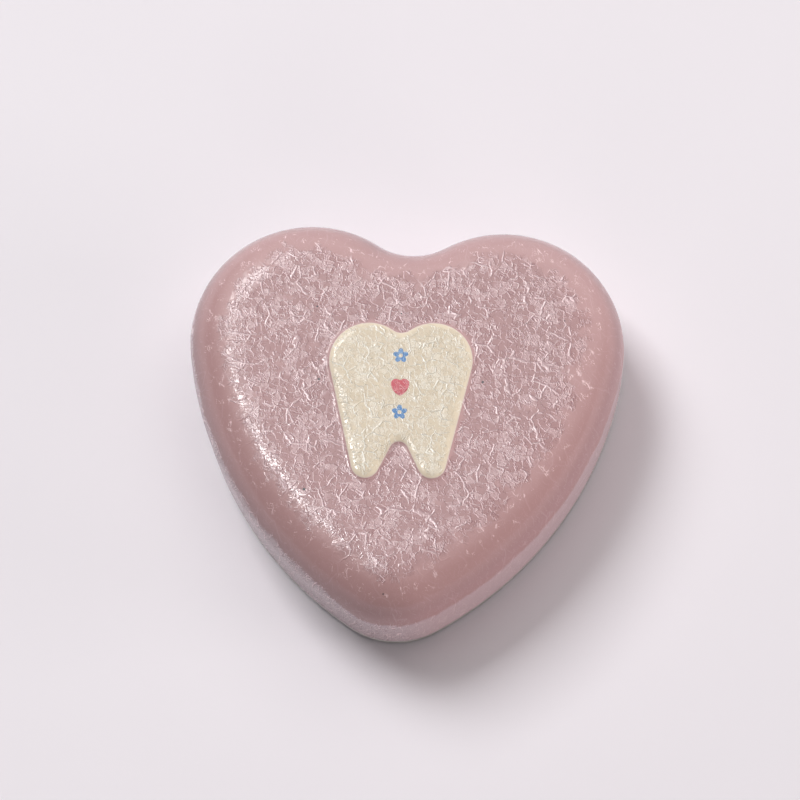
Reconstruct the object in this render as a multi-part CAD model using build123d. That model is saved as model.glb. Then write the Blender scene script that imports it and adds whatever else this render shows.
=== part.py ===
from build123d import *
import os
from collections import namedtuple
from math import acos, atan2, cos, degrees, hypot, pi, radians, sin, sqrt

# A small heart-shaped keepsake tin for baby teeth, in millimetres.
# It stands on z = 0 with its tip towards -Y, and its middle is on the Z axis.
# Every piece is thin sheet that follows one heart, at some depth inside its outer face.

# Driving dimensions of the heart, seen from above at the lid's outer face.
box_width = 60.0         # across both lobes
lobe_radius = 16.7       # each of the two lobes
notch_radius = 8.7       # the hollow between the lobes
side_radius = 51.4       # the long flank from a lobe to the tip
tip_radius = 11.1        # the rounded tip
tip_reach = 28.7         # from the line through the lobe centres to the tip's centre

# Sheet metal and the folds made in it.
sheet = 0.30             # tinplate
fold_bore = 0.10         # inner radius of a pressed fold
seam_slack = 0.02        # between two layers of the bottom seam

# Lid: a drawn shell with a round shoulder, a skirt and a curled edge.
lid_height = 17.5        # from the table to the flat top
shoulder_radius = 8.0    # outer face of the shoulder
lid_curl_bore = 0.35     # inner radius of the edge rolled inwards
lid_curl_turn = 265.0    # how far that edge is rolled, in degrees
lid_rest_gap = 0.12      # between the lid's edge and the bottom seam under it
slip_clearance = 0.20    # between the lid's curled edge and the wall that it slides over

# Body wall: a strip bent to the heart, curled at the top and flanged at the foot.
lid_headroom = 1.1       # from the top of the wall to the lid above it
wall_curl_bore = 0.25    # inner radius of the rolled top edge
wall_curl_turn = 250.0   # how far that edge is rolled, in degrees
lap_width = 3.0          # where the strip's two ends overlap, in the notch
lap_end_gap = 0.15       # from the overlap to the fold under it and the curl over it

# Bottom: a panel raised inside the wall, with its edge folded round the wall's flange.
seam_setback = 0.05      # of the seam behind the lid's outer face
hook_end_gap = 0.15      # from the end of the folded edge to the wall's fold
panel_rise = 1.3         # top of the panel above the table

# Embossed tooth on the lid, with its crown towards the notch.
tooth_setback = 0.65     # top of the crown behind the line through the lobe centres
tooth_length = 21.9      # from the crown's top to the roots' ends
cusp_radius = 5.35       # the two round shoulders of the crown
cusp_spread = 4.35       # from the middle to a cusp's centre
cusp_notch_radius = 2.0  # the dip between the cusps
root_radius = 1.9        # the round end of a root
root_spread = 4.45       # from the middle to a root's centre
crotch_radius = 1.25     # the arch between the roots
crotch_height = 5.1      # of the arch above the roots' ends
tooth_turn = 2.0         # in degrees, anticlockwise seen from above, off the heart's middle line
relief_height = 0.60     # of the tooth above the lid's flat top
relief_crown_radius = 2.6  # the soft round edge of the raised tooth
relief_foot_radius = 1.4   # the hollow where the relief meets the flat top

# Places that follow from those sizes.
lobe_spread = box_width / 2 - lobe_radius
lobe_line_y = (tip_reach + tip_radius - lobe_radius) / 2
fold_radius = fold_bore + sheet
lid_curl_radius = lid_curl_bore + sheet
wall_curl_radius = wall_curl_bore + sheet
wall_depth = 2 * lid_curl_radius + slip_clearance
seam_height = 3 * sheet + 2 * seam_slack
nose_radius = seam_height / 2
nose_depth = seam_setback + nose_radius
shoulder_z = lid_height - shoulder_radius
lid_edge_z = seam_height + lid_rest_gap
lid_curl_z = lid_edge_z + lid_curl_radius
inner_shoulder_radius = shoulder_radius - sheet
lid_inside_z = shoulder_z + sqrt(inner_shoulder_radius ** 2 - (shoulder_radius - wall_depth) ** 2)
wall_top_z = lid_inside_z - lid_headroom
wall_curl_z = wall_top_z - wall_curl_radius
chuck_depth = wall_depth + sheet + seam_slack

# One stretch of an outline is a Bend or a Run.
# A Bend's bulge is 1 where the outline swells outwards and -1 where it is hollow.
Bend = namedtuple("Bend", "x y radius start sweep bulge")
Run = namedtuple("Run", "x1 y1 x2 y2 out_x out_y")


def direction(from_x, from_y, to_x, to_y):
    """The heading from one point to another, in degrees."""
    return degrees(atan2(to_y - from_y, to_x - from_x))


def mirrored(stretch):
    """The same stretch on the other side of the middle plane."""
    if isinstance(stretch, Bend):
        start = 180 - stretch.start - stretch.sweep
        return stretch._replace(x=-stretch.x, start=start)
    return Run(-stretch.x2, stretch.y2, -stretch.x1, stretch.y1, -stretch.out_x, stretch.out_y)


def turned(stretch, pivot_y, turn):
    """The same stretch turned about a point on the middle line."""
    turn_cos, turn_sin = cos(radians(turn)), sin(radians(turn))

    def moved(x, y):
        return x * turn_cos - (y - pivot_y) * turn_sin, pivot_y + x * turn_sin + (y - pivot_y) * turn_cos

    if isinstance(stretch, Bend):
        x, y = moved(stretch.x, stretch.y)
        return stretch._replace(x=x, y=y, start=stretch.start + turn)
    out_x = stretch.out_x * turn_cos - stretch.out_y * turn_sin
    out_y = stretch.out_x * turn_sin + stretch.out_y * turn_cos
    return Run(*moved(stretch.x1, stretch.y1), *moved(stretch.x2, stretch.y2), out_x, out_y)


def heart_outline():
    """Six arcs that run smoothly into each other: notch, lobes, flanks and tip."""
    notch_y = sqrt((lobe_radius + notch_radius) ** 2 - lobe_spread ** 2)
    # The flank's centre is as far from the lobe's and the tip's centres as their radii ask.
    span = hypot(lobe_spread, tip_reach)
    to_lobe = side_radius - lobe_radius
    to_tip = side_radius - tip_radius
    along = (to_lobe ** 2 - to_tip ** 2 + span ** 2) / (2 * span)
    across = sqrt(to_lobe ** 2 - along ** 2)
    side_x = lobe_spread - (lobe_spread * along + tip_reach * across) / span
    side_y = (lobe_spread * across - tip_reach * along) / span
    lobe_end = direction(lobe_spread, 0, 0, notch_y)
    lobe_start = direction(side_x, side_y, lobe_spread, 0)
    side_start = direction(side_x, side_y, 0, -tip_reach)
    notch_end = direction(0, notch_y, lobe_spread, 0)
    y = lobe_line_y
    notch = Bend(0, y + notch_y, notch_radius, -180 - notch_end, 180 + 2 * notch_end, -1)
    lobe = Bend(lobe_spread, y, lobe_radius, lobe_start, lobe_end - lobe_start, 1)
    side = Bend(side_x, y + side_y, side_radius, side_start, lobe_start - side_start, 1)
    tip = Bend(0, y - tip_reach, tip_radius, -180 - side_start, 180 + 2 * side_start, 1)
    return [notch, mirrored(lobe), mirrored(side), tip, side, lobe]


def tooth_outline():
    """A two-rooted molar seen from the side, at the middle of its relief's slope."""
    top_y = lobe_line_y + tooth_setback
    cusp_y = top_y - cusp_radius
    root_y = top_y - tooth_length + root_radius
    crotch_y = top_y - tooth_length + crotch_height - crotch_radius
    dip_y = cusp_y + sqrt((cusp_radius + cusp_notch_radius) ** 2 - cusp_spread ** 2)
    # The outer flank is the straight line that touches the cusp and the root.
    outer_span = hypot(root_spread - cusp_spread, root_y - cusp_y)
    outer_turn = degrees(acos((cusp_radius - root_radius) / outer_span))
    outer = direction(cusp_spread, cusp_y, root_spread, root_y) + outer_turn
    # The inner flank touches the root on one side and the arch on the other.
    inner_span = hypot(root_spread, crotch_y - root_y)
    inner_turn = degrees(acos((crotch_radius + root_radius) / inner_span))
    inner = direction(root_spread, root_y, 0, crotch_y) + inner_turn - 360
    cusp_end = direction(cusp_spread, cusp_y, 0, dip_y)
    dip_end = direction(0, dip_y, cusp_spread, cusp_y)
    outer_x, outer_y = cos(radians(outer)), sin(radians(outer))
    inner_x, inner_y = cos(radians(inner)), sin(radians(inner))
    dip = Bend(0, dip_y, cusp_notch_radius, -180 - dip_end, 180 + 2 * dip_end, -1)
    cusp = Bend(cusp_spread, cusp_y, cusp_radius, outer, cusp_end - outer, 1)
    root = Bend(root_spread, root_y, root_radius, inner, outer - inner, 1)
    crotch = Bend(0, crotch_y, crotch_radius, inner + 180, -2 * inner - 180, -1)
    outer_run = Run(root_spread + root_radius * outer_x, root_y + root_radius * outer_y,
                    cusp_spread + cusp_radius * outer_x, cusp_y + cusp_radius * outer_y,
                    outer_x, outer_y)
    inner_run = Run(-crotch_radius * inner_x, crotch_y - crotch_radius * inner_y,
                    root_spread + root_radius * inner_x, root_y + root_radius * inner_y,
                    inner_x, inner_y)
    right = [inner_run, root, outer_run, cusp]
    left = [mirrored(stretch) for stretch in reversed(right)]
    pivot_y = top_y - tooth_length / 2
    return [turned(stretch, pivot_y, tooth_turn) for stretch in [dip] + left + [crotch] + right]


def edge_at(stretch, depth):
    """One stretch of an outline as an edge on z = 0, moved inwards by depth."""
    if isinstance(stretch, Bend):
        radius = stretch.radius - stretch.bulge * depth
        return CenterArc((stretch.x, stretch.y), radius, stretch.start, stretch.sweep)
    move_x = -stretch.out_x * depth
    move_y = -stretch.out_y * depth
    return Line((stretch.x1 + move_x, stretch.y1 + move_y), (stretch.x2 + move_x, stretch.y2 + move_y))


def face_at(outline, depth):
    """The area inside an outline moved inwards by depth, on z = 0."""
    return make_face(Wire([edge_at(stretch, depth) for stretch in outline]).edges())


def slab(area, low, high):
    """An area as a flat piece from one height to another."""
    return Pos(0, 0, low) * extrude(area, high - low)


def swept_along(stretch, profile):
    """A profile of depth and height, carried along one stretch of an outline."""
    if isinstance(stretch, Bend):
        out_x = stretch.bulge * cos(radians(stretch.start))
        out_y = stretch.bulge * sin(radians(stretch.start))
        start_x = stretch.x + stretch.bulge * stretch.radius * out_x
        start_y = stretch.y + stretch.bulge * stretch.radius * out_y
    else:
        out_x, out_y = stretch.out_x, stretch.out_y
        start_x, start_y = stretch.x1, stretch.y1
    section = Plane(origin=(start_x, start_y, 0), x_dir=(-out_x, -out_y, 0), z_dir=(-out_y, out_x, 0)) * profile
    if isinstance(stretch, Bend):
        return revolve(section, Axis((stretch.x, stretch.y, 0), (0, 0, 1)), stretch.sweep)
    way = Vector(stretch.x2 - stretch.x1, stretch.y2 - stretch.y1, 0)
    return extrude(section, way.length, dir=way.normalized())


def ring(outline, profile):
    """A profile carried all the way round an outline, as one solid."""
    spans = [swept_along(stretch, profile) for stretch in outline]
    return spans[0].fuse(*spans[1:]).clean()


def closed_profile(*lines):
    """The area inside lines and arcs that follow each other, as depth and height."""
    return make_face(Wire(lines).edges())


def corner(x, y, radius, start, turn):
    """A quarter, half or longer arc of a profile about the given centre."""
    return CenterArc((x, y), radius, start, turn)


def rim_point(x, y, radius, angle):
    """The point of a circle at an angle in degrees."""
    return (x + radius * cos(radians(angle)), y + radius * sin(radians(angle)))


def lid_profile():
    """From the flat top over the shoulder, down the skirt and round the rolled edge."""
    outer = shoulder_radius
    inner = inner_shoulder_radius
    roll = lid_curl_radius
    roll_end = 180 + lid_curl_turn
    return closed_profile(
        corner(outer, shoulder_z, outer, 90, 90),
        Line((0, shoulder_z), (0, lid_curl_z)),
        corner(roll, lid_curl_z, roll, 180, lid_curl_turn),
        Line(rim_point(roll, lid_curl_z, roll, roll_end), rim_point(roll, lid_curl_z, lid_curl_bore, roll_end)),
        corner(roll, lid_curl_z, lid_curl_bore, 180, lid_curl_turn),
        Line((sheet, lid_curl_z), (sheet, shoulder_z)),
        corner(outer, shoulder_z, inner, 90, 90),
        Line((outer, lid_height - sheet), (outer, lid_height)))


def relief_profile():
    """The slope of the embossed tooth: a hollow at its foot and a round crown."""
    crown = relief_crown_radius
    foot = relief_foot_radius
    slope = degrees(acos(1 - relief_height / (crown + foot)))
    foot_depth = -foot * sin(radians(slope))
    crown_depth = crown * sin(radians(slope))
    foot_z = lid_height + foot
    crown_z = lid_height + relief_height - crown
    top_z = lid_height + relief_height
    return closed_profile(
        corner(foot_depth, foot_z, foot, -90, slope),
        corner(crown_depth, crown_z, crown, 90, slope),
        Line((crown_depth, top_z), (crown_depth, top_z - sheet)),
        corner(crown_depth, crown_z, crown - sheet, 90, slope),
        corner(foot_depth, foot_z, foot + sheet, -90, slope),
        Line((foot_depth, lid_height - sheet), (foot_depth, lid_height))), foot_depth, crown_depth


def lid_shell():
    """The drawn lid, with the tooth raised out of its flat top."""
    heart = heart_outline()
    tooth = tooth_outline()
    relief, foot_depth, crown_depth = relief_profile()
    shell = ring(heart, lid_profile())
    flat_top = slab(face_at(heart, shoulder_radius) - face_at(tooth, foot_depth),
                    lid_height - sheet, lid_height)
    raised_z = lid_height + relief_height
    raised_top = slab(face_at(tooth, crown_depth), raised_z - sheet, raised_z)
    return shell.fuse(flat_top, ring(tooth, relief), raised_top).clean()


def wall_profile():
    """From the flange at the foot up to the rolled top edge."""
    inner_depth = wall_depth + sheet
    roll_depth = wall_depth + wall_curl_radius
    roll_end = 180 - wall_curl_turn
    flange_z = sheet + seam_slack
    bend_z = flange_z + fold_radius
    return closed_profile(
        Line((nose_depth, flange_z), (inner_depth - fold_radius, flange_z)),
        corner(inner_depth - fold_radius, bend_z, fold_radius, -90, 90),
        Line((inner_depth, bend_z), (inner_depth, wall_curl_z)),
        corner(roll_depth, wall_curl_z, wall_curl_bore, roll_end, wall_curl_turn),
        Line(rim_point(roll_depth, wall_curl_z, wall_curl_bore, roll_end),
             rim_point(roll_depth, wall_curl_z, wall_curl_radius, roll_end)),
        corner(roll_depth, wall_curl_z, wall_curl_radius, roll_end, wall_curl_turn),
        Line((wall_depth, wall_curl_z), (wall_depth, bend_z)),
        corner(wall_depth - fold_bore, bend_z, fold_bore, -90, 90),
        Line((wall_depth - fold_bore, flange_z + sheet), (nose_depth, flange_z + sheet)),
        Line((nose_depth, flange_z + sheet), (nose_depth, flange_z)))


def wall_lap():
    """The second layer inside the wall where the strip's ends overlap, in the notch."""
    notch = heart_outline()[0]
    low = panel_rise + lap_end_gap
    high = wall_top_z - 2 * wall_curl_radius - lap_end_gap
    inner_depth = wall_depth + sheet
    layer = Pos(inner_depth + sheet / 2, (low + high) / 2) * Rectangle(sheet, high - low)
    sweep = degrees(lap_width / (notch.radius + inner_depth))
    return swept_along(notch._replace(start=-90 - sweep / 2, sweep=sweep), layer)


def body_wall():
    """The formed strip that stands inside the lid's skirt."""
    return ring(heart_outline(), wall_profile()).fuse(wall_lap()).clean()


def bottom_profile():
    """From the edge folded over the flange, round under it and up to the raised panel."""
    hook_end = wall_depth - fold_bore - hook_end_gap
    chuck_inner = chuck_depth + sheet
    panel_edge = chuck_depth + fold_radius
    turn_z = panel_rise - fold_radius
    return closed_profile(
        Line((hook_end, seam_height), (nose_depth, seam_height)),
        corner(nose_depth, nose_radius, nose_radius, 90, 180),
        Line((nose_depth, 0), (chuck_inner - fold_radius, 0)),
        corner(chuck_inner - fold_radius, fold_radius, fold_radius, -90, 90),
        Line((chuck_inner, fold_radius), (chuck_inner, turn_z)),
        corner(panel_edge, turn_z, fold_bore, 90, 90),
        Line((panel_edge, panel_rise - sheet), (panel_edge, panel_rise)),
        corner(panel_edge, turn_z, fold_radius, 90, 90),
        Line((chuck_depth, turn_z), (chuck_depth, fold_radius)),
        corner(chuck_depth - fold_bore, fold_radius, fold_bore, -90, 90),
        Line((chuck_depth - fold_bore, sheet), (nose_depth, sheet)),
        corner(nose_depth, nose_radius, nose_radius - sheet, 90, 180),
        Line((nose_depth, seam_height - sheet), (hook_end, seam_height - sheet)),
        Line((hook_end, seam_height - sheet), (hook_end, seam_height)))


def bottom_plate():
    """The raised panel and the seam that the box stands on."""
    heart = heart_outline()
    panel = slab(face_at(heart, chuck_depth + fold_radius), panel_rise - sheet, panel_rise)
    return ring(heart, bottom_profile()).fuse(panel).clean()


pieces = {"lid_shell": lid_shell(), "body_wall": body_wall(), "bottom_plate": bottom_plate()}
os.makedirs("parts", exist_ok=True)
for node, shape in pieces.items():
    export_step(shape, "parts/" + node + ".step")
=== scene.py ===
from collections import namedtuple
from math import acos, asin, atan2, ceil, cos, degrees, hypot, pi, radians, sin, sqrt

import bmesh
import bpy
from mathutils import Matrix, Quaternion, Vector
from mathutils.geometry import delaunay_2d_cdt


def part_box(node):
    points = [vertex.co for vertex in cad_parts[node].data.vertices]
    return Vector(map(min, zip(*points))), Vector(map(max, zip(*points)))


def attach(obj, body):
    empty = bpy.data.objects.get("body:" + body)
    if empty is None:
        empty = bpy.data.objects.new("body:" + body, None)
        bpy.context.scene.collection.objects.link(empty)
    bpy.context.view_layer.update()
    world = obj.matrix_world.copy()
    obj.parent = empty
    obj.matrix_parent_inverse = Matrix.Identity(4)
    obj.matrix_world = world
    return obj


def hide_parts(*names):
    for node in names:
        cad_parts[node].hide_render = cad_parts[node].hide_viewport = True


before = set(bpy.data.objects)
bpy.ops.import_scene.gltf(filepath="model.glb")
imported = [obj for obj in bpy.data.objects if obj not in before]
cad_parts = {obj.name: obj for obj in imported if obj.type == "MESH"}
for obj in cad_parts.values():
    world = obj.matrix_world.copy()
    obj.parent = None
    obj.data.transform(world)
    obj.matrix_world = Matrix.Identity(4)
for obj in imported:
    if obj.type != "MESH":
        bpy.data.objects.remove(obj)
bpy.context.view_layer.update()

# Lengths are in metres and angles in degrees.
mm = 0.001

# Driving dimensions of the heart, seen from above at the lid's outer face, as in the CAD model.
box_width = 60.0 * mm
lobe_radius = 16.7 * mm
notch_radius = 8.7 * mm
side_radius = 51.4 * mm
tip_radius = 11.1 * mm
tip_reach = 28.7 * mm

# The lid's sheet, shoulder and rolled edge.
sheet = 0.30 * mm
shoulder_radius = 8.0 * mm
lid_curl_bore = 0.35 * mm
lid_curl_turn = 265.0

# The embossed tooth.
tooth_setback = 0.65 * mm
tooth_length = 21.9 * mm
cusp_radius = 5.35 * mm
cusp_spread = 4.35 * mm
cusp_notch_radius = 2.0 * mm
root_radius = 1.9 * mm
root_spread = 4.45 * mm
crotch_radius = 1.25 * mm
crotch_height = 5.1 * mm
tooth_turn = 2.0
relief_height = 0.60 * mm
relief_crown_radius = 2.6 * mm
relief_foot_radius = 1.4 * mm

# How finely round stretches are divided, and the narrow band beside a flat area's edge.
bend_step = 0.45 * mm
fold_step_degrees = 9.0
edge_band = 0.15 * mm
weld_distance = 0.0005 * mm

# The printed ornament on the tooth: two small flowers and a heart, one above the other.
ornament_drop = 4.8 * mm
ornament_pitch = 4.0 * mm
flower_radius = 1.05 * mm
flower_eye_radius = 0.28 * mm
flower_petals = 5
petal_dip_share = 0.45
heart_print_width = 2.5 * mm
flower_points = 60
print_edge_width = 0.13 * mm

# The crystal lacquer: its cells, the wrinkles along their borders and the curls within them.
cell_pitch = 0.95 * mm
crack_pitch = 2.9 * mm
warp_pitch = 1.25 * mm
warp_reach = 0.62 * mm
patch_pitch = 2.6 * mm
stroke_pitch = 2.2 * mm
border_pitch = 2.4 * mm
stray_pitch = 1.3 * mm
speck_pitch = 5.5 * mm
speck_radius = 0.22 * mm
gap_pitch = 0.6 * mm
curl_pitch = 0.95 * mm
curl_turns = 7.0
grain_pitch = 0.25 * mm
fold_pitch = 1.0 * mm
fold_share = 0.026
crease_pitch = 0.50 * mm
crease_share = 0.045
wrinkle_width = 0.10 * mm
crack_width = 0.15 * mm
wrinkle_height = 0.027 * mm
crack_height = 0.050 * mm
curl_height = 0.0085 * mm
fold_height = 0.018 * mm
crease_height = 0.008 * mm
grain_height = 0.022 * mm
clear_grain_share = 0.25
facet_tilt_share = 0.03

# The pattern is drawn out down the lid: its upright scale is this share of its level one.
drape_share = 0.65

# How far to the side of a ridge its painted shade and painted highlight are looked for, on the flat top and
# on the skirt.
painted_light_shift = (0.066 * mm, 0.041 * mm, 0.0)
skirt_painted_light_shift = (0.045 * mm, -0.045 * mm, -0.05 * mm)

# Levels of a noise, or of a cell's random number, between which each form of the film comes in.
broken_levels = (0.52, 0.59)
patch_levels = (0.36, 0.50)
stroke_levels = (0.50, 0.56)
curl_levels = (0.42, 0.56)
curl_patch_levels = (0.36, 0.56)
calm_levels = (0.38, 0.50)
frosted_levels = (0.50, 0.56)
frost_patch_levels = (0.38, 0.50)
mottle_levels = (0.25, 0.60)
stray_levels = (0.57, 0.63)

# Where on the lid each look of the film comes in, by the upward part of the surface's normal;
# two of them place the painted shade low on the shoulder and the painted reflection of the table on the
# skirt.
top_relief_levels = (0.86, 0.95)
top_wrinkle_levels = (0.91, 0.97)
near_top_levels = (0.64, 0.80)
painted_shoulder_shade_levels = (0.72, 0.42)
thin_coat_levels = (0.55, 0.15)
skirt_levels = (0.24, 0.12)
painted_reflection_levels = (0.18, 0.06)
chipped_level = 0.75

# How ragged the borders of those zones are.
top_ragged_share = 0.30
skirt_ragged_share = 0.20

# The skirt's wrinkles fade on the right side and reach higher up the shoulder on the left.
smooth_side_x = 7.0 * mm
smooth_side_share = 0.25
lift_start_x = -3.0 * mm
lift_end_x = -12.0 * mm
lift_share = 0.22

# How much of the flat top's relief is left on the shoulder, and how much more on the skirt.
shoulder_relief_share = 0.12
skirt_relief_share = 0.50

# The same for the top's lines on the skirt, and for its painted glints on the shoulder and in patches
# there.
skirt_wrinkle_share = 0.62
shoulder_painted_glint_share = 0.08
stray_painted_glint_share = 0.65

# The falls between which a ridge's sides turn to painted shade and painted highlight, and how far each
# layer tints the ink.
painted_shade_falls = (0.02, 0.11)
painted_highlight_falls = (-0.05, -0.17)
wrinkle_shade_share = 0.30
frost_share = 0.29
# Painted shade low on the shoulder.
painted_shoulder_shade_share = 0.52
# The painted reflection of the table on the skirt, with more of it on the left.
painted_reflection_share = 0.17
left_painted_reflection_share = 0.12
# Painted shade and highlight on a ridge's sides, painted glint along its crest, and the ridge lines' share
# of that glint.
painted_side_share = 0.95
painted_crest_glint_share = 0.25
thin_line_share = 0.2
# How much thinner the coat is down the steep skirt.
thin_coat_share = 0.45
# The painted reflection's colour, and the black of the chips.
painted_reflection_white = (0.82, 0.80, 0.88, 1)
chip_black = (0.035, 0.03, 0.035, 1)

# Bare tinplate: the rolling lines, the cloudy dulling and the scuffs.
grain_line_pitch = 0.11 * mm
grain_line_length = 9.0 * mm
grain_line_height = 0.0006 * mm
cloud_pitch = 6.0 * mm
scuff_pitch = 0.35 * mm
scuff_length = 4.0 * mm
scuff_levels = (0.66, 0.72)
scuff_share = 0.5
cloud_levels = (0.3, 0.7)
least_haze = 0.14
line_haze = 0.16
cloud_haze = 0.20

# Texture settings: a bump's heights are in metres, and a place may be given in pitches already.
bump_distance = 1.0
one_pitch = 1.0
middle_grey = (0.5, 0.5, 0.5)

# Camera: where it looks, and how it stands to that point.
camera_target = (-0.56 * mm, 4.33 * mm, 8.0 * mm)
camera_distance = 383.4 * mm
camera_elevation = 72.0
camera_azimuth = 10.6
camera_roll = -7.68
frame_pixels = 800
focal_pixels = 2779.0
sensor_width = 36.0

# The table and the studio lights.
table_reach = 6.0
table_cloud_pitch = 60.0 * mm
key_distance = 1.8
key_size = 0.80
near_distance = 1.0
wide_size = 0.85
low_size = 0.4
low_height = 0.16
shine_size = 0.34
strip_length = 0.44
strip_width = 0.14
cool_white = (1.0, 1.0, 1.0)
warm_white = (1.0, 0.96, 0.93)

# The room: a pale ceiling that only glossy surfaces see, dim light for the rest, and a backdrop.
ceiling_heading = (0.15, 0.55, 0.82)
ceiling_levels = (0.10, 0.80)
ceiling_strength = 1.5
wall_strength = 0.20
dim_strength = 0.02
room_white = (1, 0.99, 1, 1)
backdrop_white = (0.84, 0.81, 0.84, 1)

# Places that follow from those sizes.
lobe_spread = box_width / 2 - lobe_radius
lobe_line_y = (tip_reach + tip_radius - lobe_radius) / 2
tooth_middle_y = lobe_line_y + tooth_setback - tooth_length / 2
lid_curl_radius = lid_curl_bore + sheet
lid_low, lid_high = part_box("lid_shell")
crown_top_z = lid_high[2]
lid_top_z = crown_top_z - relief_height
shoulder_z = lid_top_z - shoulder_radius
lid_curl_z = lid_low[2] + lid_curl_radius

# The lid's material slots, in the order in which it is given its materials.
lacquer, bare, cream_ink, edge_ink, blue_ink, red_ink = range(6)

# One stretch of an outline is a Bend or a Run.
# A Bend's bulge is 1 where the outline swells outwards and -1 where it is hollow.
Bend = namedtuple("Bend", "x y radius start sweep bulge")
Run = namedtuple("Run", "x1 y1 x2 y2 out_x out_y")

# How strongly the film shows each of its looks at a point, from 0 to 1.
Zones = namedtuple("Zones", "skirt relief wrinkled glinting bloom")


def direction(from_x, from_y, to_x, to_y):
    """The heading from one point to another, in degrees."""
    return degrees(atan2(to_y - from_y, to_x - from_x))


def mirrored(stretch):
    """The same stretch on the other side of the middle plane."""
    if isinstance(stretch, Bend):
        start = 180 - stretch.start - stretch.sweep
        return stretch._replace(x=-stretch.x, start=start)
    return Run(-stretch.x2, stretch.y2, -stretch.x1, stretch.y1, -stretch.out_x, stretch.out_y)


def turned(stretch, pivot_y, turn):
    """The same stretch turned about a point on the middle line."""
    if isinstance(stretch, Bend):
        x, y = turned_point(stretch.x, stretch.y, pivot_y, turn)
        return stretch._replace(x=x, y=y, start=stretch.start + turn)
    return Run(*turned_point(stretch.x1, stretch.y1, pivot_y, turn),
               *turned_point(stretch.x2, stretch.y2, pivot_y, turn),
               *turned_point(stretch.out_x, stretch.out_y, 0, turn))


def turned_point(x, y, pivot_y, turn):
    """A point turned about another on the middle line."""
    turn_cos, turn_sin = cos(radians(turn)), sin(radians(turn))
    return x * turn_cos - (y - pivot_y) * turn_sin, pivot_y + x * turn_sin + (y - pivot_y) * turn_cos


def heart_outline():
    """Six arcs that run smoothly into each other, anticlockwise from the tip."""
    notch_y = sqrt((lobe_radius + notch_radius) ** 2 - lobe_spread ** 2)
    span = hypot(lobe_spread, tip_reach)
    to_lobe = side_radius - lobe_radius
    to_tip = side_radius - tip_radius
    along = (to_lobe ** 2 - to_tip ** 2 + span ** 2) / (2 * span)
    across = sqrt(to_lobe ** 2 - along ** 2)
    side_x = lobe_spread - (lobe_spread * along + tip_reach * across) / span
    side_y = (lobe_spread * across - tip_reach * along) / span
    lobe_end = direction(lobe_spread, 0, 0, notch_y)
    lobe_start = direction(side_x, side_y, lobe_spread, 0)
    side_start = direction(side_x, side_y, 0, -tip_reach)
    notch_end = direction(0, notch_y, lobe_spread, 0)
    y = lobe_line_y
    notch = Bend(0, y + notch_y, notch_radius, -180 - notch_end, 180 + 2 * notch_end, -1)
    lobe = Bend(lobe_spread, y, lobe_radius, lobe_start, lobe_end - lobe_start, 1)
    side = Bend(side_x, y + side_y, side_radius, side_start, lobe_start - side_start, 1)
    tip = Bend(0, y - tip_reach, tip_radius, -180 - side_start, 180 + 2 * side_start, 1)
    return [tip, side, lobe, notch, mirrored(lobe), mirrored(side)]


def tooth_outline():
    """A two-rooted molar at the middle of its relief's slope, anticlockwise from its left root."""
    top_y = lobe_line_y + tooth_setback
    cusp_y = top_y - cusp_radius
    root_y = top_y - tooth_length + root_radius
    crotch_y = top_y - tooth_length + crotch_height - crotch_radius
    dip_y = cusp_y + sqrt((cusp_radius + cusp_notch_radius) ** 2 - cusp_spread ** 2)
    outer_span = hypot(root_spread - cusp_spread, root_y - cusp_y)
    outer_turn = degrees(acos((cusp_radius - root_radius) / outer_span))
    outer = direction(cusp_spread, cusp_y, root_spread, root_y) + outer_turn
    inner_span = hypot(root_spread, crotch_y - root_y)
    inner_turn = degrees(acos((crotch_radius + root_radius) / inner_span))
    inner = direction(root_spread, root_y, 0, crotch_y) + inner_turn - 360
    cusp_end = direction(cusp_spread, cusp_y, 0, dip_y)
    dip_end = direction(0, dip_y, cusp_spread, cusp_y)
    outer_x, outer_y = cos(radians(outer)), sin(radians(outer))
    inner_x, inner_y = cos(radians(inner)), sin(radians(inner))
    dip = Bend(0, dip_y, cusp_notch_radius, -180 - dip_end, 180 + 2 * dip_end, -1)
    cusp = Bend(cusp_spread, cusp_y, cusp_radius, outer, cusp_end - outer, 1)
    root = Bend(root_spread, root_y, root_radius, inner, outer - inner, 1)
    crotch = Bend(0, crotch_y, crotch_radius, inner + 180, -2 * inner - 180, -1)
    outer_run = Run(root_spread + root_radius * outer_x, root_y + root_radius * outer_y,
                    cusp_spread + cusp_radius * outer_x, cusp_y + cusp_radius * outer_y,
                    outer_x, outer_y)
    inner_run = Run(-crotch_radius * inner_x, crotch_y - crotch_radius * inner_y,
                    root_spread + root_radius * inner_x, root_y + root_radius * inner_y,
                    inner_x, inner_y)
    right = [inner_run, root, outer_run, cusp]
    left = [mirrored(stretch) for stretch in reversed(right)]
    return [turned(stretch, tooth_middle_y, tooth_turn) for stretch in left + [crotch] + right + [dip]]


def stretch_points(stretch, depth):
    """Evenly spaced points of one stretch moved inwards by depth, without its last point."""
    if isinstance(stretch, Run):
        count = max(2, ceil(hypot(stretch.x2 - stretch.x1, stretch.y2 - stretch.y1) / bend_step))
        shift_x, shift_y = -stretch.out_x * depth, -stretch.out_y * depth
        shares = [i / count for i in range(count)]
        return [(stretch.x1 + (stretch.x2 - stretch.x1) * share + shift_x,
                 stretch.y1 + (stretch.y2 - stretch.y1) * share + shift_y) for share in shares]
    count = max(6, ceil(radians(stretch.sweep) * stretch.radius / bend_step))
    radius = stretch.radius - stretch.bulge * depth
    # A hollow stretch is walked clockwise, so that the whole outline runs one way round.
    if stretch.bulge > 0:
        angles = [stretch.start + stretch.sweep * i / count for i in range(count)]
    else:
        angles = [stretch.start + stretch.sweep * (1 - i / count) for i in range(count)]
    return [(stretch.x + radius * cos(radians(angle)), stretch.y + radius * sin(radians(angle)))
            for angle in angles]


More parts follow.
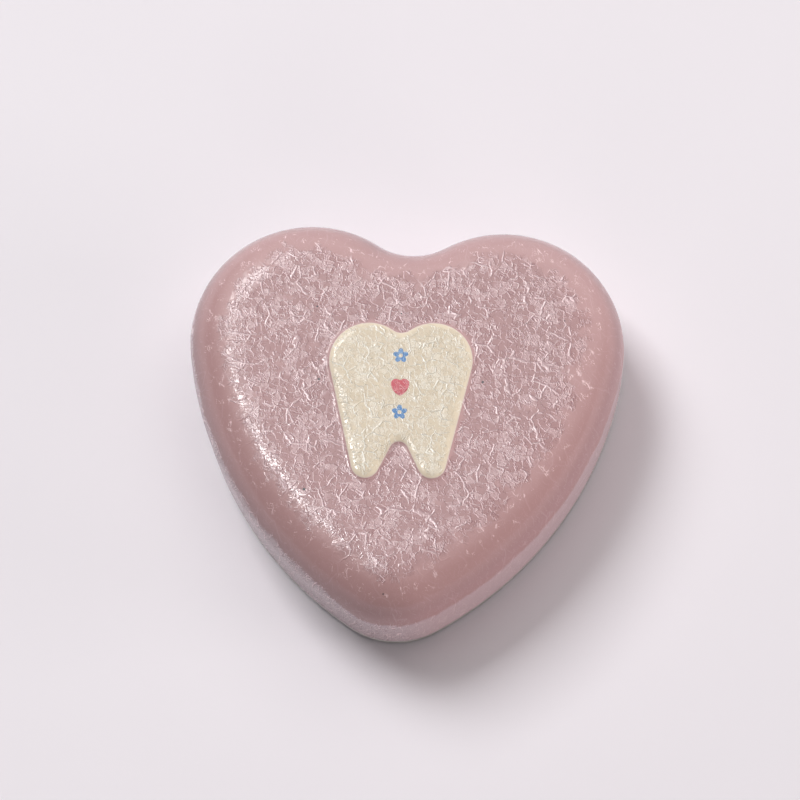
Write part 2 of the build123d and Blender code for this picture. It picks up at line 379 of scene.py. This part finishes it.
def loop_points(outline, depth):
    """A whole outline moved inwards by depth, with the same number of points at any depth."""
    return [point for stretch in outline for point in stretch_points(stretch, depth)]


def arc_profile(x, y, radius, start, turn):
    """Points of a profile's arc, both ends included."""
    count = max(3, ceil(abs(turn) / fold_step_degrees))
    return [(x + radius * cos(radians(start + turn * i / count)),
             y + radius * sin(radians(start + turn * i / count))) for i in range(count + 1)]


def add_loop(mesh, outline, depth, z):
    """One loop of vertices along an outline."""
    return flat_loop(mesh, loop_points(outline, depth), z)


def flat_loop(mesh, points, z):
    """One loop of vertices at a height."""
    return [mesh.verts.new((x, y, z)) for x, y in points]


def bridge(mesh, first, second, material):
    """A band of faces between two loops of as many vertices."""
    count = len(first)
    for i in range(count):
        j = (i + 1) % count
        face = mesh.faces.new((first[i], first[j], second[j], second[i]))
        face.material_index = material
        face.smooth = True


def skin(mesh, outline, profile, material):
    """A surface that follows a profile of depth and height all round an outline."""
    loops = [add_loop(mesh, outline, depth, z) for depth, z in profile]
    for first, second in zip(loops, loops[1:]):
        bridge(mesh, first, second, material)
    return loops[0], loops[-1]


def encloses(loop, x, y):
    """Whether a closed loop of vertices goes round a point, seen from above."""
    crossings = 0
    for here, there in zip(loop, loop[1:] + loop[:1]):
        if (here.co.y > y) != (there.co.y > y):
            share = (y - here.co.y) / (there.co.y - here.co.y)
            crossings += x < here.co.x + (there.co.x - here.co.x) * share
    return crossings % 2 == 1


def fill_flat(mesh, outer, holes, material):
    """Triangles over a flat area inside a loop and outside its holes."""
    verts = list(outer)
    edges = [(i, (i + 1) % len(outer)) for i in range(len(outer))]
    for hole in holes:
        start = len(verts)
        verts += hole
        edges += [(start + i, start + (i + 1) % len(hole)) for i in range(len(hole))]
    flat = [Vector((vert.co.x, vert.co.y)) for vert in verts]
    found = delaunay_2d_cdt(flat, edges, [], 0, weld_distance)
    sources = [origins[0] for origins in found[3]]
    for triangle in found[2]:
        corners = [verts[sources[i]] for i in triangle]
        x = sum(vert.co.x for vert in corners) / len(corners)
        y = sum(vert.co.y for vert in corners) / len(corners)
        if encloses(outer, x, y) and not any(encloses(hole, x, y) for hole in holes):
            face = mesh.faces.new(corners)
            face.material_index = material
            face.smooth = True


def finished(mesh, name, materials):
    """The mesh as an object in the scene, its normals out."""
    bmesh.ops.remove_doubles(mesh, verts=mesh.verts, dist=weld_distance)
    bmesh.ops.recalc_face_normals(mesh, faces=mesh.faces)
    data = bpy.data.meshes.new(name)
    mesh.to_mesh(data)
    mesh.free()
    for material in materials:
        data.materials.append(material)
    piece = bpy.data.objects.new(name, data)
    bpy.context.scene.collection.objects.link(piece)
    return piece


def add_node(tree, kind, inputs, **settings):
    """A shader node; an input that is given a socket is linked, and any other is set."""
    node = tree.nodes.new(kind)
    for key, value in settings.items():
        setattr(node, key, value)
    for key, value in inputs.items():
        if isinstance(value, bpy.types.NodeSocket):
            tree.links.new(value, node.inputs[key])
        else:
            node.inputs[key].default_value = value
    return node


def maths(tree, operation, *values):
    """The result of one sum on numbers."""
    return add_node(tree, "ShaderNodeMath", dict(enumerate(values)), operation=operation).outputs[0]


def times(tree, first, second):
    """The product of two numbers."""
    return maths(tree, "MULTIPLY", first, second)


def times_plus(tree, value, factor, more):
    """A number times a factor, plus one more number."""
    return maths(tree, "MULTIPLY_ADD", value, factor, more)


def larger(tree, first, second):
    """The larger of two numbers."""
    return maths(tree, "MAXIMUM", first, second)


def vector_maths(tree, operation, *values):
    """The result of one sum on vectors, as a vector."""
    inputs = dict(enumerate(values))
    return add_node(tree, "ShaderNodeVectorMath", inputs, operation=operation).outputs["Vector"]


def scaled(tree, vector, factor):
    """A vector times a number."""
    inputs = {"Vector": vector, "Scale": factor}
    return add_node(tree, "ShaderNodeVectorMath", inputs, operation="SCALE").outputs["Vector"]


def dot(tree, first, second):
    """The inner product of two vectors."""
    node = add_node(tree, "ShaderNodeVectorMath", {0: first, 1: second}, operation="DOT_PRODUCT")
    return node.outputs["Value"]


def rise(tree, value, low, high):
    """A number that goes smoothly from 0 at low to 1 at high, or down where high is the smaller."""
    inputs = {"Value": value, "From Min": low, "From Max": high}
    node = add_node(tree, "ShaderNodeMapRange", inputs, interpolation_type="SMOOTHSTEP")
    return node.outputs["Result"]


def between(tree, share, first, second):
    """A colour between two others."""
    inputs = {"Factor": share, "A": first, "B": second}
    node = tree.nodes.new("ShaderNodeMix")
    node.data_type = "RGBA"
    for key, value in inputs.items():
        socket = next(one for one in node.inputs if one.name == key and one.enabled)
        if isinstance(value, bpy.types.NodeSocket):
            tree.links.new(value, socket)
        else:
            socket.default_value = value
    return next(one for one in node.outputs if one.enabled)


def noise(tree, place, pitch, detail):
    """Cloudy noise of a pitch, as its value and its colour."""
    inputs = {"Vector": place, "Scale": 1 / pitch, "Detail": detail}
    node = add_node(tree, "ShaderNodeTexNoise", inputs)
    return node.outputs["Fac"], node.outputs["Color"]


def new_material(name):
    """An empty node material with its shader, its tree and the place on the object."""
    material = bpy.data.materials.new(name)
    material.use_nodes = True
    tree = material.node_tree
    place = tree.nodes.new("ShaderNodeTexCoord")
    return material, tree, tree.nodes["Principled BSDF"], place


def put(tree, shader, inputs):
    """Sets or links a shader's inputs."""
    for key, value in inputs.items():
        if isinstance(value, bpy.types.NodeSocket):
            tree.links.new(value, shader.inputs[key])
        else:
            shader.inputs[key].default_value = value


def distance_to_border(tree, place, pitch):
    """How far a point is from the border of its cell, in cell pitches."""
    inputs = {"Vector": place, "Scale": 1 / pitch}
    node = add_node(tree, "ShaderNodeTexVoronoi", inputs, feature="DISTANCE_TO_EDGE")
    return node.outputs["Distance"]


def parts(tree, vector):
    """The three parts of a vector or a colour."""
    return add_node(tree, "ShaderNodeSeparateXYZ", {0: vector}).outputs


def warped(tree, place):
    """The place, shifted about so that straight cell borders turn wavy."""
    drift = vector_maths(tree, "SUBTRACT", noise(tree, place, warp_pitch, 1.0)[1], middle_grey)
    return vector_maths(tree, "ADD", place, scaled(tree, drift, warp_reach))


def contour(tree, place, pitch, share):
    """Wavy loops: a ridge along the middle level of a noise, as wide as a share of its range."""
    level = noise(tree, place, pitch, 1.0)[0]
    away = maths(tree, "ABSOLUTE", maths(tree, "SUBTRACT", level, 0.5))
    return rise(tree, away, share, 0.0)


def film_cells(tree, bent):
    """The cells between the film's wrinkles."""
    return add_node(tree, "ShaderNodeTexVoronoi", {"Vector": bent, "Scale": 1 / cell_pitch})


def frosted(tree, cells):
    """1 in about half of the cells, which are frosted, and 0 in the others."""
    return rise(tree, parts(tree, cells.outputs["Color"])["X"], *frosted_levels)


def film(tree, place):
    """The film's height, of tilted cells, ridges, strokes, curls and grain, and its ridge lines."""
    bent = warped(tree, place)
    patches, tones = noise(tree, place, patch_pitch, 2.0)
    tones = parts(tree, tones)
    breaks = parts(tree, noise(tree, place, gap_pitch, 1.0)[1])

    # Ridges along the cells' borders, with longer strokes, folds and fine creases between them.
    shown = times(tree, rise(tree, breaks["X"], *broken_levels), rise(tree, patches, *patch_levels))
    border = distance_to_border(tree, bent, cell_pitch)
    wrinkle = times(tree, rise(tree, border, wrinkle_width / cell_pitch, 0.0), shown)
    stroked = rise(tree, noise(tree, place, stroke_pitch, 0.0)[0], *stroke_levels)
    crack = distance_to_border(tree, bent, crack_pitch)
    stroke = times(tree, rise(tree, crack, crack_width / crack_pitch, 0.0), stroked)
    folded = rise(tree, breaks["Z"], *broken_levels)
    fold = times(tree, contour(tree, bent, fold_pitch, fold_share), folded)
    calm = rise(tree, tones["X"], *calm_levels)
    crease = times(tree, contour(tree, place, crease_pitch, crease_share), calm)
    ridges = times_plus(tree, wrinkle, wrinkle_height, times(tree, stroke, crack_height))
    ridges = times_plus(tree, fold, fold_height, times_plus(tree, crease, crease_height, ridges))

    # Curls and grain inside the cells, and a tilt of its own for each cell.
    turns = times(tree, noise(tree, bent, curl_pitch, 0.0)[0], 2 * pi * curl_turns)
    curled = rise(tree, breaks["Y"], *curl_levels)
    curled = times(tree, curled, rise(tree, tones["Y"], *curl_patch_levels))
    curls = times(tree, maths(tree, "SINE", turns), curled)
    cells = film_cells(tree, bent)
    random_axis = vector_maths(tree, "SUBTRACT", cells.outputs["Color"], middle_grey)
    from_centre = vector_maths(tree, "SUBTRACT", bent, cells.outputs["Position"])
    facet = times(tree, dot(tree, random_axis, from_centre), 2 * facet_tilt_share)
    roughened = times_plus(tree, frosted(tree, cells), 1 - clear_grain_share, clear_grain_share)
    grain = times(tree, noise(tree, place, grain_pitch, 2.0)[0], grain_height)
    fine = times_plus(tree, curls, curl_height, times(tree, grain, roughened))

    height = maths(tree, "ADD", facet, maths(tree, "ADD", ridges, fine))
    lines = larger(tree, stroke, times(tree, larger(tree, wrinkle, fold), thin_line_share))
    return height, lines


def frost(tree, place):
    """How far the film is frosted: in some of its cells, here and there."""
    cells = film_cells(tree, warped(tree, place))
    where = rise(tree, noise(tree, place, patch_pitch, 1.0)[0], *frost_patch_levels)
    mottle = rise(tree, noise(tree, place, grain_pitch, 1.0)[0], *mottle_levels)
    return times(tree, mottle, times(tree, frosted(tree, cells), where))


def chips(tree, place, level, share):
    """A few tiny dark specks where the lacquer of the top is chipped."""
    inputs = {"Vector": place, "Scale": 1 / speck_pitch}
    spot = add_node(tree, "ShaderNodeTexVoronoi", inputs, voronoi_dimensions="2D")
    lot = parts(tree, spot.outputs["Color"])
    reach = times(tree, lot["Y"], speck_radius / speck_pitch)
    inside = maths(tree, "LESS_THAN", spot.outputs["Distance"], reach)
    picked = times(tree, inside, maths(tree, "GREATER_THAN", lot["X"], 1 - share))
    return times(tree, picked, maths(tree, "GREATER_THAN", level, chipped_level))


def film_zones(tree, place, level):
    """The looks of the film at a point: the flat top and the skirt kept the wrinkles that the
    drawn shoulder stretched smooth, but for a few patches that get painted glints; a painted reflection of
    the table lies along the skirt."""
    ragged = maths(tree, "SUBTRACT", noise(tree, place, border_pitch, 2.0)[0], 0.5)
    top_level = times_plus(tree, ragged, top_ragged_share, level)
    place_x = parts(tree, place)["X"]
    leftward = rise(tree, place_x, smooth_side_x, 0.0)
    lifted = times(tree, rise(tree, place_x, lift_start_x, lift_end_x), lift_share)
    skirt_level = times_plus(tree, ragged, skirt_ragged_share, maths(tree, "SUBTRACT", level, lifted))
    sideways = times_plus(tree, leftward, 1 - smooth_side_share, smooth_side_share)
    skirt = times(tree, rise(tree, skirt_level, *skirt_levels), sideways)
    low_relief = times_plus(tree, skirt, skirt_relief_share, shoulder_relief_share)
    relief = larger(tree, rise(tree, top_level, *top_relief_levels), low_relief)
    low_wrinkled = times(tree, skirt, skirt_wrinkle_share)
    wrinkled = larger(tree, rise(tree, top_level, *top_wrinkle_levels), low_wrinkled)
    stray = rise(tree, noise(tree, place, stray_pitch, 1.0)[0], *stray_levels)
    stray = times(tree, stray, rise(tree, level, *near_top_levels))
    stray = times_plus(tree, stray, stray_painted_glint_share, shoulder_painted_glint_share)
    painted_reflection_strength = times_plus(tree, leftward, left_painted_reflection_share, painted_reflection_share)
    bloom = times(tree, rise(tree, skirt_level, *painted_reflection_levels), painted_reflection_strength)
    return Zones(skirt, relief, wrinkled, larger(tree, wrinkled, stray), bloom)


def painted_ridge_light(tree, place, height, zones):
    """Painted shade on one side of each ridge and painted highlight on its other, as if the light came from
    one fixed side.
    """
    turned_down = tuple(low - flat for low, flat in zip(skirt_painted_light_shift, painted_light_shift))
    shift = vector_maths(tree, "ADD", scaled(tree, turned_down, zones.skirt), painted_light_shift)
    beside = film(tree, vector_maths(tree, "ADD", place, shift))[0]
    fall = times(tree, maths(tree, "SUBTRACT", height, beside), 1 / Vector(painted_light_shift).length)
    painted_ridge_shade = times(tree, rise(tree, fall, *painted_shade_falls), zones.wrinkled)
    # The other side of the ridge gets painted highlight.
    bright = times(tree, rise(tree, fall, *painted_highlight_falls), zones.glinting)
    return painted_ridge_shade, bright


def crystal_lacquer(name, fineness, chip_share, ink, pale, deep):
    """Clear lacquer that has wrinkled into fine cells, over a printed ink; its colour also carries painted
    shade, highlights, glints and a painted reflection.
    """
    material, tree, shader, coordinates = new_material(name)
    drape = (fineness, fineness, fineness * drape_share)
    place = vector_maths(tree, "MULTIPLY", coordinates.outputs["Object"], drape)
    level = parts(tree, coordinates.outputs["Normal"])["Z"]
    height, ridges = film(tree, place)
    zones = film_zones(tree, place, level)
    inputs = {"Strength": zones.relief, "Distance": bump_distance, "Height": height}
    bump = add_node(tree, "ShaderNodeBump", inputs)
    painted_ridge_shade, bright = painted_ridge_light(tree, place, height, zones)

    # What tints the ink, from the lowest layer to the topmost, each with its share and colour: darker ink
    # where the film is wrinkled, frosted cells, painted shade low on the shoulder, a painted reflection of
    # the table on the skirt, painted shade and painted highlight on a ridge's two sides, painted glint
    # along the ridge crests, and chips.
    layers = [
        (zones.wrinkled, wrinkle_shade_share, deep),
        (times(tree, frost(tree, place), zones.wrinkled), frost_share, pale),
        (rise(tree, level, *painted_shoulder_shade_levels), painted_shoulder_shade_share, deep),
        (zones.bloom, 1, painted_reflection_white),
        (painted_ridge_shade, painted_side_share, deep),
        (bright, painted_side_share, pale),
        (times(tree, ridges, zones.glinting), painted_crest_glint_share, pale),
        (chips(tree, place, level, chip_share), 1, chip_black),
    ]
    shade = ink
    for cover, share, colour in layers:
        shade = between(tree, times(tree, cover, share), shade, colour)
    put(tree, shader, {
        "Base Color": shade,
        "Roughness": 0.5,
        "Normal": bump.outputs["Normal"],
        "Coat Weight": times_plus(tree, rise(tree, level, *thin_coat_levels), -thin_coat_share, 1),
        "Coat Roughness": 0.05,
        "Coat Normal": bump.outputs["Normal"],
    })
    return material


def tinplate(name, bright, dull, stretch):
    """Bare rolled tinplate: fine lines along the sheet, cloudy dulling and light scuffs."""
    material, tree, shader, coordinates = new_material(name)
    place = coordinates.outputs["Object"]
    lines = noise(tree, vector_maths(tree, "MULTIPLY", place, stretch), one_pitch, 3.0)[0]
    clouds = noise(tree, place, cloud_pitch, 3.0)[0]
    scuff_stretch = (1 / scuff_pitch, 1 / scuff_length, 1 / scuff_pitch)
    scuffs = noise(tree, vector_maths(tree, "MULTIPLY", place, scuff_stretch), one_pitch, 1.0)[0]
    scuffed = times(tree, rise(tree, scuffs, *scuff_levels), scuff_share)
    shade = between(tree, rise(tree, clouds, *cloud_levels), bright, dull)
    shade = between(tree, scuffed, shade, bright)
    haze = times_plus(tree, clouds, cloud_haze, times_plus(tree, lines, line_haze, least_haze))
    height = times(tree, lines, grain_line_height)
    inputs = {"Strength": 1.0, "Distance": bump_distance, "Height": height}
    bump = add_node(tree, "ShaderNodeBump", inputs)
    put(tree, shader, {
        "Base Color": shade,
        "Metallic": 1.0,
        "Roughness": haze,
        "Normal": bump.outputs["Normal"],
    })
    return material


def table_paint():
    """The pale painted board that the box stands on, very slightly uneven."""
    material, tree, shader, coordinates = new_material("table_paint")
    clouds = noise(tree, coordinates.outputs["Object"], table_cloud_pitch, 3.0)[0]
    shade = between(tree, clouds, (0.825, 0.785, 0.83, 1), (0.855, 0.815, 0.86, 1))
    put(tree, shader, {"Base Color": shade, "Roughness": 0.65})
    return material


def flower_loop(y, radius, dip_share):
    """Points round a small flower on the middle line; a dip of 0 makes it a plain disc."""
    points = []
    for i in range(flower_points):
        turn = 2 * pi * i / flower_points
        petal = abs(cos(flower_petals * turn / 2))
        reach = radius * (1 - dip_share + dip_share * petal)
        points.append((-reach * sin(turn), y + reach * cos(turn)))
    return with_tooth(points)


def heart_loop(y):
    """The box's own outline again, as small as the print."""
    share = heart_print_width / box_width
    outline = loop_points(heart_outline(), 0)
    return with_tooth([(x * share, y + (outline_y - lobe_line_y) * share) for x, outline_y in outline])


def with_tooth(points):
    """Points turned as the tooth is."""
    return [turned_point(x, y, tooth_middle_y, tooth_turn) for x, y in points]


def lid_walls(mesh):
    """The lid's shoulder, skirt and rolled edge; gives the loops round its flat top, out and in."""
    heart = heart_outline()
    outer = shoulder_radius
    roll = lid_curl_radius
    outside = [(outer + edge_band, lid_top_z)]
    outside += arc_profile(outer, shoulder_z, outer, 90, 90)
    outside += arc_profile(roll, lid_curl_z, roll, 180, lid_curl_turn)
    inside = arc_profile(roll, lid_curl_z, lid_curl_bore, 180 + lid_curl_turn, -lid_curl_turn)
    inside += arc_profile(outer, shoulder_z, outer - sheet, 180, -90)
    inside += [(outer + edge_band, lid_top_z - sheet)]
    top_edge, roll_end = skin(mesh, heart, outside, lacquer)
    cut_edge, under_edge = skin(mesh, heart, inside, bare)
    bridge(mesh, roll_end, cut_edge, bare)
    return top_edge, under_edge


def tooth_slopes(mesh):
    """The raised tooth's slopes; gives the loops at their foot and crown, outside and then inside."""
    tooth = tooth_outline()
    crown, foot = relief_crown_radius, relief_foot_radius
    slope = degrees(acos(1 - relief_height / (crown + foot)))
    print_slope = degrees(asin(sin(radians(slope)) - print_edge_width / crown))
    foot_depth = -foot * sin(radians(slope))
    crown_depth = crown * sin(radians(slope))
    foot_z = lid_top_z + foot
    crown_z = crown_top_z - crown
    foot_rise = [(foot_depth - edge_band, lid_top_z)]
    foot_rise += arc_profile(foot_depth, foot_z, foot, -90, slope)
    print_edge = arc_profile(crown_depth, crown_z, crown, 90 + slope, print_slope - slope)
    raised = arc_profile(crown_depth, crown_z, crown, 90 + print_slope, -print_slope)
    raised += [(crown_depth + edge_band, crown_top_z)]
    under = [(foot_depth - edge_band, lid_top_z - sheet)]
    under += arc_profile(foot_depth, foot_z, foot + sheet, -90, slope)
    under += arc_profile(crown_depth, crown_z, crown - sheet, 90 + slope, -slope)[1:]
    under += [(crown_depth + edge_band, crown_top_z - sheet)]
    foot_edge = skin(mesh, tooth, foot_rise, lacquer)[0]
    skin(mesh, tooth, print_edge, edge_ink)
    crown_edge = skin(mesh, tooth, raised, cream_ink)[1]
    under_foot, under_crown = skin(mesh, tooth, under, bare)
    return foot_edge, crown_edge, under_foot, under_crown


def tooth_print(mesh, crown_edge):
    """The tooth's flat crown, with the two flowers and the heart as areas of it."""
    first_y = lobe_line_y + tooth_setback - ornament_drop
    blue_loops = []
    eye_loops = []
    for y in (first_y, first_y - 2 * ornament_pitch):
        blue_loops.append(flat_loop(mesh, flower_loop(y, flower_radius, petal_dip_share), crown_top_z))
        eye_loops.append(flat_loop(mesh, flower_loop(y, flower_eye_radius, 0), crown_top_z))
    red_loop = flat_loop(mesh, heart_loop(first_y - ornament_pitch), crown_top_z)
    fill_flat(mesh, crown_edge, blue_loops + [red_loop], cream_ink)
    for blue_loop, eye_loop in zip(blue_loops, eye_loops):
        fill_flat(mesh, blue_loop, [eye_loop], blue_ink)
        fill_flat(mesh, eye_loop, [], cream_ink)
    fill_flat(mesh, red_loop, [], red_ink)


def lid_piece():
    """The drawn lid with its embossed tooth, lacquered outside and bare inside."""
    mesh = bmesh.new()
    top_edge, under_edge = lid_walls(mesh)
    foot_edge, crown_edge, under_foot, under_crown = tooth_slopes(mesh)
    fill_flat(mesh, top_edge, [foot_edge], lacquer)
    fill_flat(mesh, under_edge, [under_foot], bare)
    fill_flat(mesh, under_crown, [], bare)
    tooth_print(mesh, crown_edge)
    return finished(mesh, "lid_drawn", [pink, tin_inside, cream, edge, blue, red])


def make_camera():
    """The camera at the photograph's viewing angle."""
    elevation = radians(camera_elevation)
    azimuth = radians(camera_azimuth)
    back = Vector((sin(azimuth) * cos(elevation), -cos(azimuth) * cos(elevation), sin(elevation)))
    right = (-back).cross(Vector((0, 0, 1))).normalized()
    up = right.cross(-back)
    turn = radians(camera_roll)
    turned_right = right * cos(turn) + up * sin(turn)
    turned_up = up * cos(turn) - right * sin(turn)
    data = bpy.data.cameras.new("camera")
    data.sensor_width = sensor_width
    data.lens = focal_pixels / frame_pixels * sensor_width
    data.clip_start = camera_distance / 100
    camera = bpy.data.objects.new("camera", data)
    place = Matrix((turned_right, turned_up, back)).transposed().to_4x4()
    place.translation = Vector(camera_target) + back * camera_distance
    camera.matrix_world = place
    bpy.context.scene.collection.objects.link(camera)
    bpy.context.scene.camera = camera


def softbox(name, azimuth, elevation, distance, width, height, roll, power, colour):
    """A studio light that faces the box."""
    data = bpy.data.lights.new(name, "AREA")
    data.shape = "RECTANGLE"
    data.size = width
    data.size_y = height
    data.energy = power
    data.color = colour
    light = bpy.data.objects.new(name, data)
    flat_share = cos(radians(elevation))
    heading = Vector((cos(radians(azimuth)) * flat_share, sin(radians(azimuth)) * flat_share,
                      sin(radians(elevation))))
    turn = heading.to_track_quat("Z", "Y") @ Quaternion((0, 0, 1), radians(roll))
    light.location = heading * distance
    light.rotation_euler = turn.to_euler()
    light.visible_camera = False
    bpy.context.scene.collection.objects.link(light)
    return light


def make_lights():
    """Lights that shade the box, and others that only shine in its gloss."""
    far, near = key_distance, near_distance
    # Each has its azimuth, elevation, distance, width, height, roll, power and colour.
    shading = [
        softbox("key", 131, 48, far, key_size, key_size, 0, 26.6, cool_white),
        softbox("right", 356, 6, near, low_size, low_height, 0, 4.7, warm_white),
        softbox("back_right", 62, 60, near, wide_size, wide_size, 0, 3.45, warm_white),
        softbox("front_right", 318, 6, near, low_size, low_height, 0, 2.9, warm_white),
        softbox("front_left", 262, 6, near, low_size, low_height, 0, 1.65, warm_white),
    ]
    shining = [
        softbox("left_shine", 176, 61, near, strip_length, strip_width, 64, 4.0, cool_white),
        softbox("key_shine", 131, 48, near, shine_size, shine_size, 0, 3.6, cool_white),
    ]
    for light in shading:
        light.visible_glossy = False
    for light in shining:
        light.visible_diffuse = False


def background(tree, colour, strength):
    """An even glow of the room."""
    return add_node(tree, "ShaderNodeBackground", {"Color": colour, "Strength": strength})


def make_room():
    """A dim studio: glossy surfaces see its pale ceiling, and the camera a pale backdrop."""
    world = bpy.data.worlds.new("studio")
    bpy.context.scene.world = world
    world.use_nodes = True
    tree = world.node_tree
    heading = tree.nodes.new("ShaderNodeTexCoord").outputs["Generated"]
    ceiling = rise(tree, dot(tree, heading, ceiling_heading), *ceiling_levels)
    glow_strength = times_plus(tree, ceiling, ceiling_strength, wall_strength)
    dim = tree.nodes["Background"]
    dim.inputs["Color"].default_value = room_white
    dim.inputs["Strength"].default_value = dim_strength
    glow = background(tree, room_white, glow_strength)
    backdrop = background(tree, backdrop_white, 1.0)
    ray = tree.nodes.new("ShaderNodeLightPath").outputs
    inputs = {0: ray["Is Glossy Ray"], 1: dim.outputs[0], 2: glow.outputs[0]}
    unseen = add_node(tree, "ShaderNodeMixShader", inputs)
    inputs = {0: ray["Is Camera Ray"], 1: unseen.outputs[0], 2: backdrop.outputs[0]}
    outer = add_node(tree, "ShaderNodeMixShader", inputs)
    tree.links.new(outer.outputs[0], tree.nodes["World Output"].inputs["Surface"])


def make_floor():
    """The plain pale table top."""
    mesh = bmesh.new()
    corners = [(-table_reach, -table_reach), (table_reach, -table_reach),
               (table_reach, table_reach), (-table_reach, table_reach)]
    mesh.faces.new(flat_loop(mesh, corners, 0))
    finished(mesh, "floor", [table_paint()])


bpy.context.scene.view_settings.view_transform = "Standard"

# Each ink has its pattern's fineness, its share of chips, and its own, pale and deep colours;
# the pale one also serves as painted highlight and glint, the deep one as painted shade.
pink = crystal_lacquer("pink_lacquer", 1.0, 0.2,
                       (0.435, 0.249, 0.247, 1), (0.95, 0.73, 0.76, 1), (0.20, 0.082, 0.09, 1))
cream = crystal_lacquer("cream_lacquer", 1.35, 0.0,
                        (0.72, 0.61, 0.455, 1), (1.0, 0.97, 0.89, 1), (0.49, 0.40, 0.285, 1))
edge = crystal_lacquer("edge_lacquer", 1.35, 0.0,
                       (0.70, 0.59, 0.50, 1), (0.90, 0.83, 0.76, 1), (0.52, 0.42, 0.35, 1))
blue = crystal_lacquer("blue_lacquer", 1.8, 0.0,
                       (0.045, 0.20, 0.46, 1), (0.45, 0.62, 0.80, 1), (0.04, 0.15, 0.38, 1))
red = crystal_lacquer("red_lacquer", 1.8, 0.0,
                      (0.54, 0.045, 0.075, 1), (0.85, 0.42, 0.44, 1), (0.42, 0.04, 0.06, 1))

# Each tinplate has its bright and its dull colour, and the scale of its rolling lines each way.
along = 1 / grain_line_length
across = 1 / grain_line_pitch
tin_inside = tinplate("tin_inside", (0.66, 0.645, 0.61, 1), (0.55, 0.535, 0.50, 1), (along, across, across))
tin_wall = tinplate("tin_wall", (0.68, 0.665, 0.63, 1), (0.56, 0.545, 0.51, 1), (along, along, across))
tin_bottom = tinplate("tin_bottom", (0.70, 0.685, 0.65, 1), (0.58, 0.565, 0.53, 1), (across, along, across))

lid = lid_piece()
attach(lid, "lid")
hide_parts("lid_shell")
for node, finish in (("body_wall", tin_wall), ("bottom_plate", tin_bottom)):
    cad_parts[node].data.materials.clear()
    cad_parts[node].data.materials.append(finish)

make_camera()
make_floor()
make_lights()
make_room()
